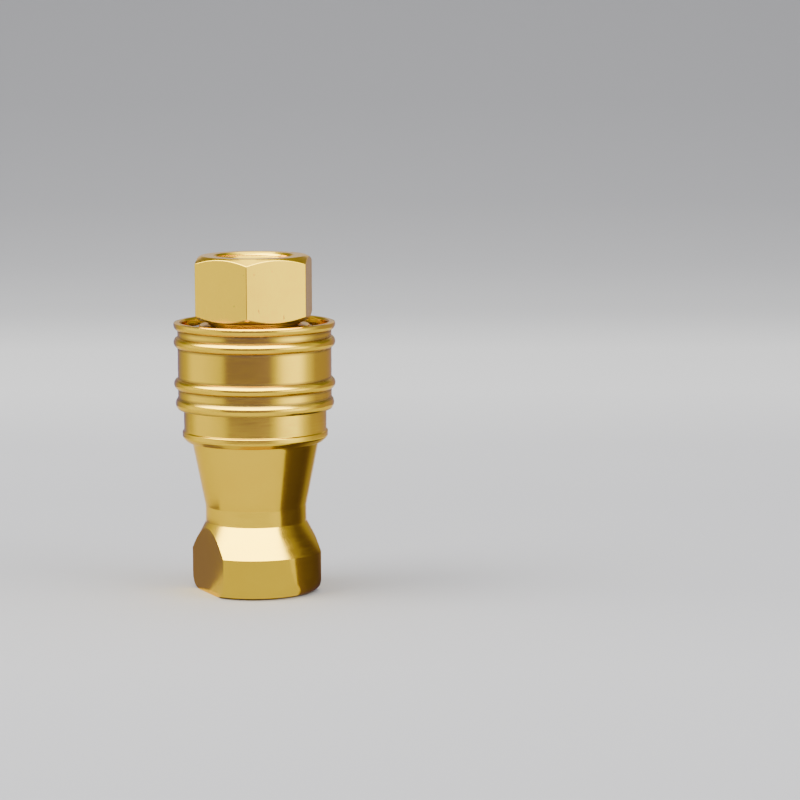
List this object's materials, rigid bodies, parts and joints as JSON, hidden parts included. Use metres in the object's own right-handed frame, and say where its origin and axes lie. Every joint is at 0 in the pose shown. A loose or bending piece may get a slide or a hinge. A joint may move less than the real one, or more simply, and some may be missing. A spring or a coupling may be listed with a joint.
{
  "type": "quick disconnect coupler",
  "caption": "Brass ball-lock quick disconnect coupler, plug locked in its socket, with a sprung release sleeve, a valve in each half and a threaded port at each end.",
  "frame": {"origin": "centre of the adapter's end face, the face with the lower port", "axes": "+Z along the flow axis from the socket half to the plug half; the adapter's two wrench flats face +X and -X, and the plug's hexagon has flats on +Y and -Y"},
  "size_m": [0.044, 0.044, 0.092],
  "materials": {
    "turned_brass": "fine turned, satin polished",
    "sleeve_brass": "polished, with faint lathe lines",
    "valve_brass": "as machined",
    "ball_steel": "ground and polished",
    "spring_steel": "drawn wire",
    "ring_steel": "stamped and tumbled",
    "nitrile_rubber": "moulded, satin",
    "ptfe": "turned, matte"
  },
  "bodies": {
    "socket": {"socket_adapter": "turned_brass", "socket_barrel": "turned_brass", "socket_poppet_guide": "valve_brass", "socket_poppet_spring": "spring_steel", "sleeve_spring": "spring_steel", "sleeve_stop_ring": "ring_steel", "plug_seal_o_ring": "nitrile_rubber", "plug_seal_backup_ring": "ptfe", "body_joint_o_ring": "nitrile_rubber"},
    "sleeve": {"release_sleeve": "sleeve_brass"},
    "plug": {"plug_body": "turned_brass", "plug_poppet_guide": "valve_brass", "plug_poppet_spring": "spring_steel", "plug_guide_snap_ring": "ring_steel"},
    "socket_valve": {"socket_poppet": "valve_brass", "socket_poppet_seal": "nitrile_rubber"},
    "plug_valve": {"plug_poppet": "valve_brass", "plug_poppet_seal": "nitrile_rubber"},
    "ball_1": {"locking_ball_1": "ball_steel"},
    "ball_2": {"locking_ball_2": "ball_steel"},
    "ball_3": {"locking_ball_3": "ball_steel"},
    "ball_4": {"locking_ball_4": "ball_steel"},
    "ball_5": {"locking_ball_5": "ball_steel"},
    "ball_6": {"locking_ball_6": "ball_steel"},
    "ball_7": {"locking_ball_7": "ball_steel"},
    "ball_8": {"locking_ball_8": "ball_steel"}
  },
  "joints": [
    {"name": "sleeve_slide", "type": "slide", "parent": "socket", "child": "sleeve", "axis": [0, 0, -1], "range_m": [0, 0.0046], "stiffness_N_per_m": 2200, "springref_m": -0.004, "deforming": ["sleeve_spring"]},
    {"name": "plug_swivel", "type": "hinge", "parent": "socket", "child": "plug", "pos_m": [0, 0, 0.0645], "axis": [0, 0, 1], "continuous": true},
    {"name": "socket_poppet_slide", "type": "slide", "parent": "socket", "child": "socket_valve", "axis": [0, 0, 1], "range_m": [-0.002, 0.002], "stiffness_N_per_m": 3000, "deforming": ["socket_poppet_spring"]},
    {"name": "plug_poppet_slide", "type": "slide", "parent": "plug", "child": "plug_valve", "axis": [0, 0, 1], "range_m": [-0.002, 0.002], "deforming": ["plug_poppet_spring"]},
    {"name": "ball_1_release", "type": "slide", "parent": "socket", "child": "ball_1", "axis": [1, 0, 0], "range_m": [0, 0.00135]},
    {"name": "ball_2_release", "type": "slide", "parent": "socket", "child": "ball_2", "axis": [0.7071, 0.7071, 0], "range_m": [0, 0.00135]},
    {"name": "ball_3_release", "type": "slide", "parent": "socket", "child": "ball_3", "axis": [0, 1, 0], "range_m": [0, 0.00135]},
    {"name": "ball_4_release", "type": "slide", "parent": "socket", "child": "ball_4", "axis": [-0.7071, 0.7071, 0], "range_m": [0, 0.00135]},
    {"name": "ball_5_release", "type": "slide", "parent": "socket", "child": "ball_5", "axis": [-1, 0, 0], "range_m": [0, 0.00135]},
    {"name": "ball_6_release", "type": "slide", "parent": "socket", "child": "ball_6", "axis": [-0.7071, -0.7071, 0], "range_m": [0, 0.00135]},
    {"name": "ball_7_release", "type": "slide", "parent": "socket", "child": "ball_7", "axis": [0, -1, 0], "range_m": [0, 0.00135]},
    {"name": "ball_8_release", "type": "slide", "parent": "socket", "child": "ball_8", "axis": [0.7071, -0.7071, 0], "range_m": [0, 0.00135]}
  ],
  "couplings": [
    {"joint": "plug_poppet_slide", "follows": "socket_poppet_slide", "ratio": 1},
    {"joint": "ball_1_release", "follows": "sleeve_slide", "ratio": 0.2934},
    {"joint": "ball_2_release", "follows": "sleeve_slide", "ratio": 0.2934},
    {"joint": "ball_3_release", "follows": "sleeve_slide", "ratio": 0.2934},
    {"joint": "ball_4_release", "follows": "sleeve_slide", "ratio": 0.2934},
    {"joint": "ball_5_release", "follows": "sleeve_slide", "ratio": 0.2934},
    {"joint": "ball_6_release", "follows": "sleeve_slide", "ratio": 0.2934},
    {"joint": "ball_7_release", "follows": "sleeve_slide", "ratio": 0.2934},
    {"joint": "ball_8_release", "follows": "sleeve_slide", "ratio": 0.2934}
  ]
}
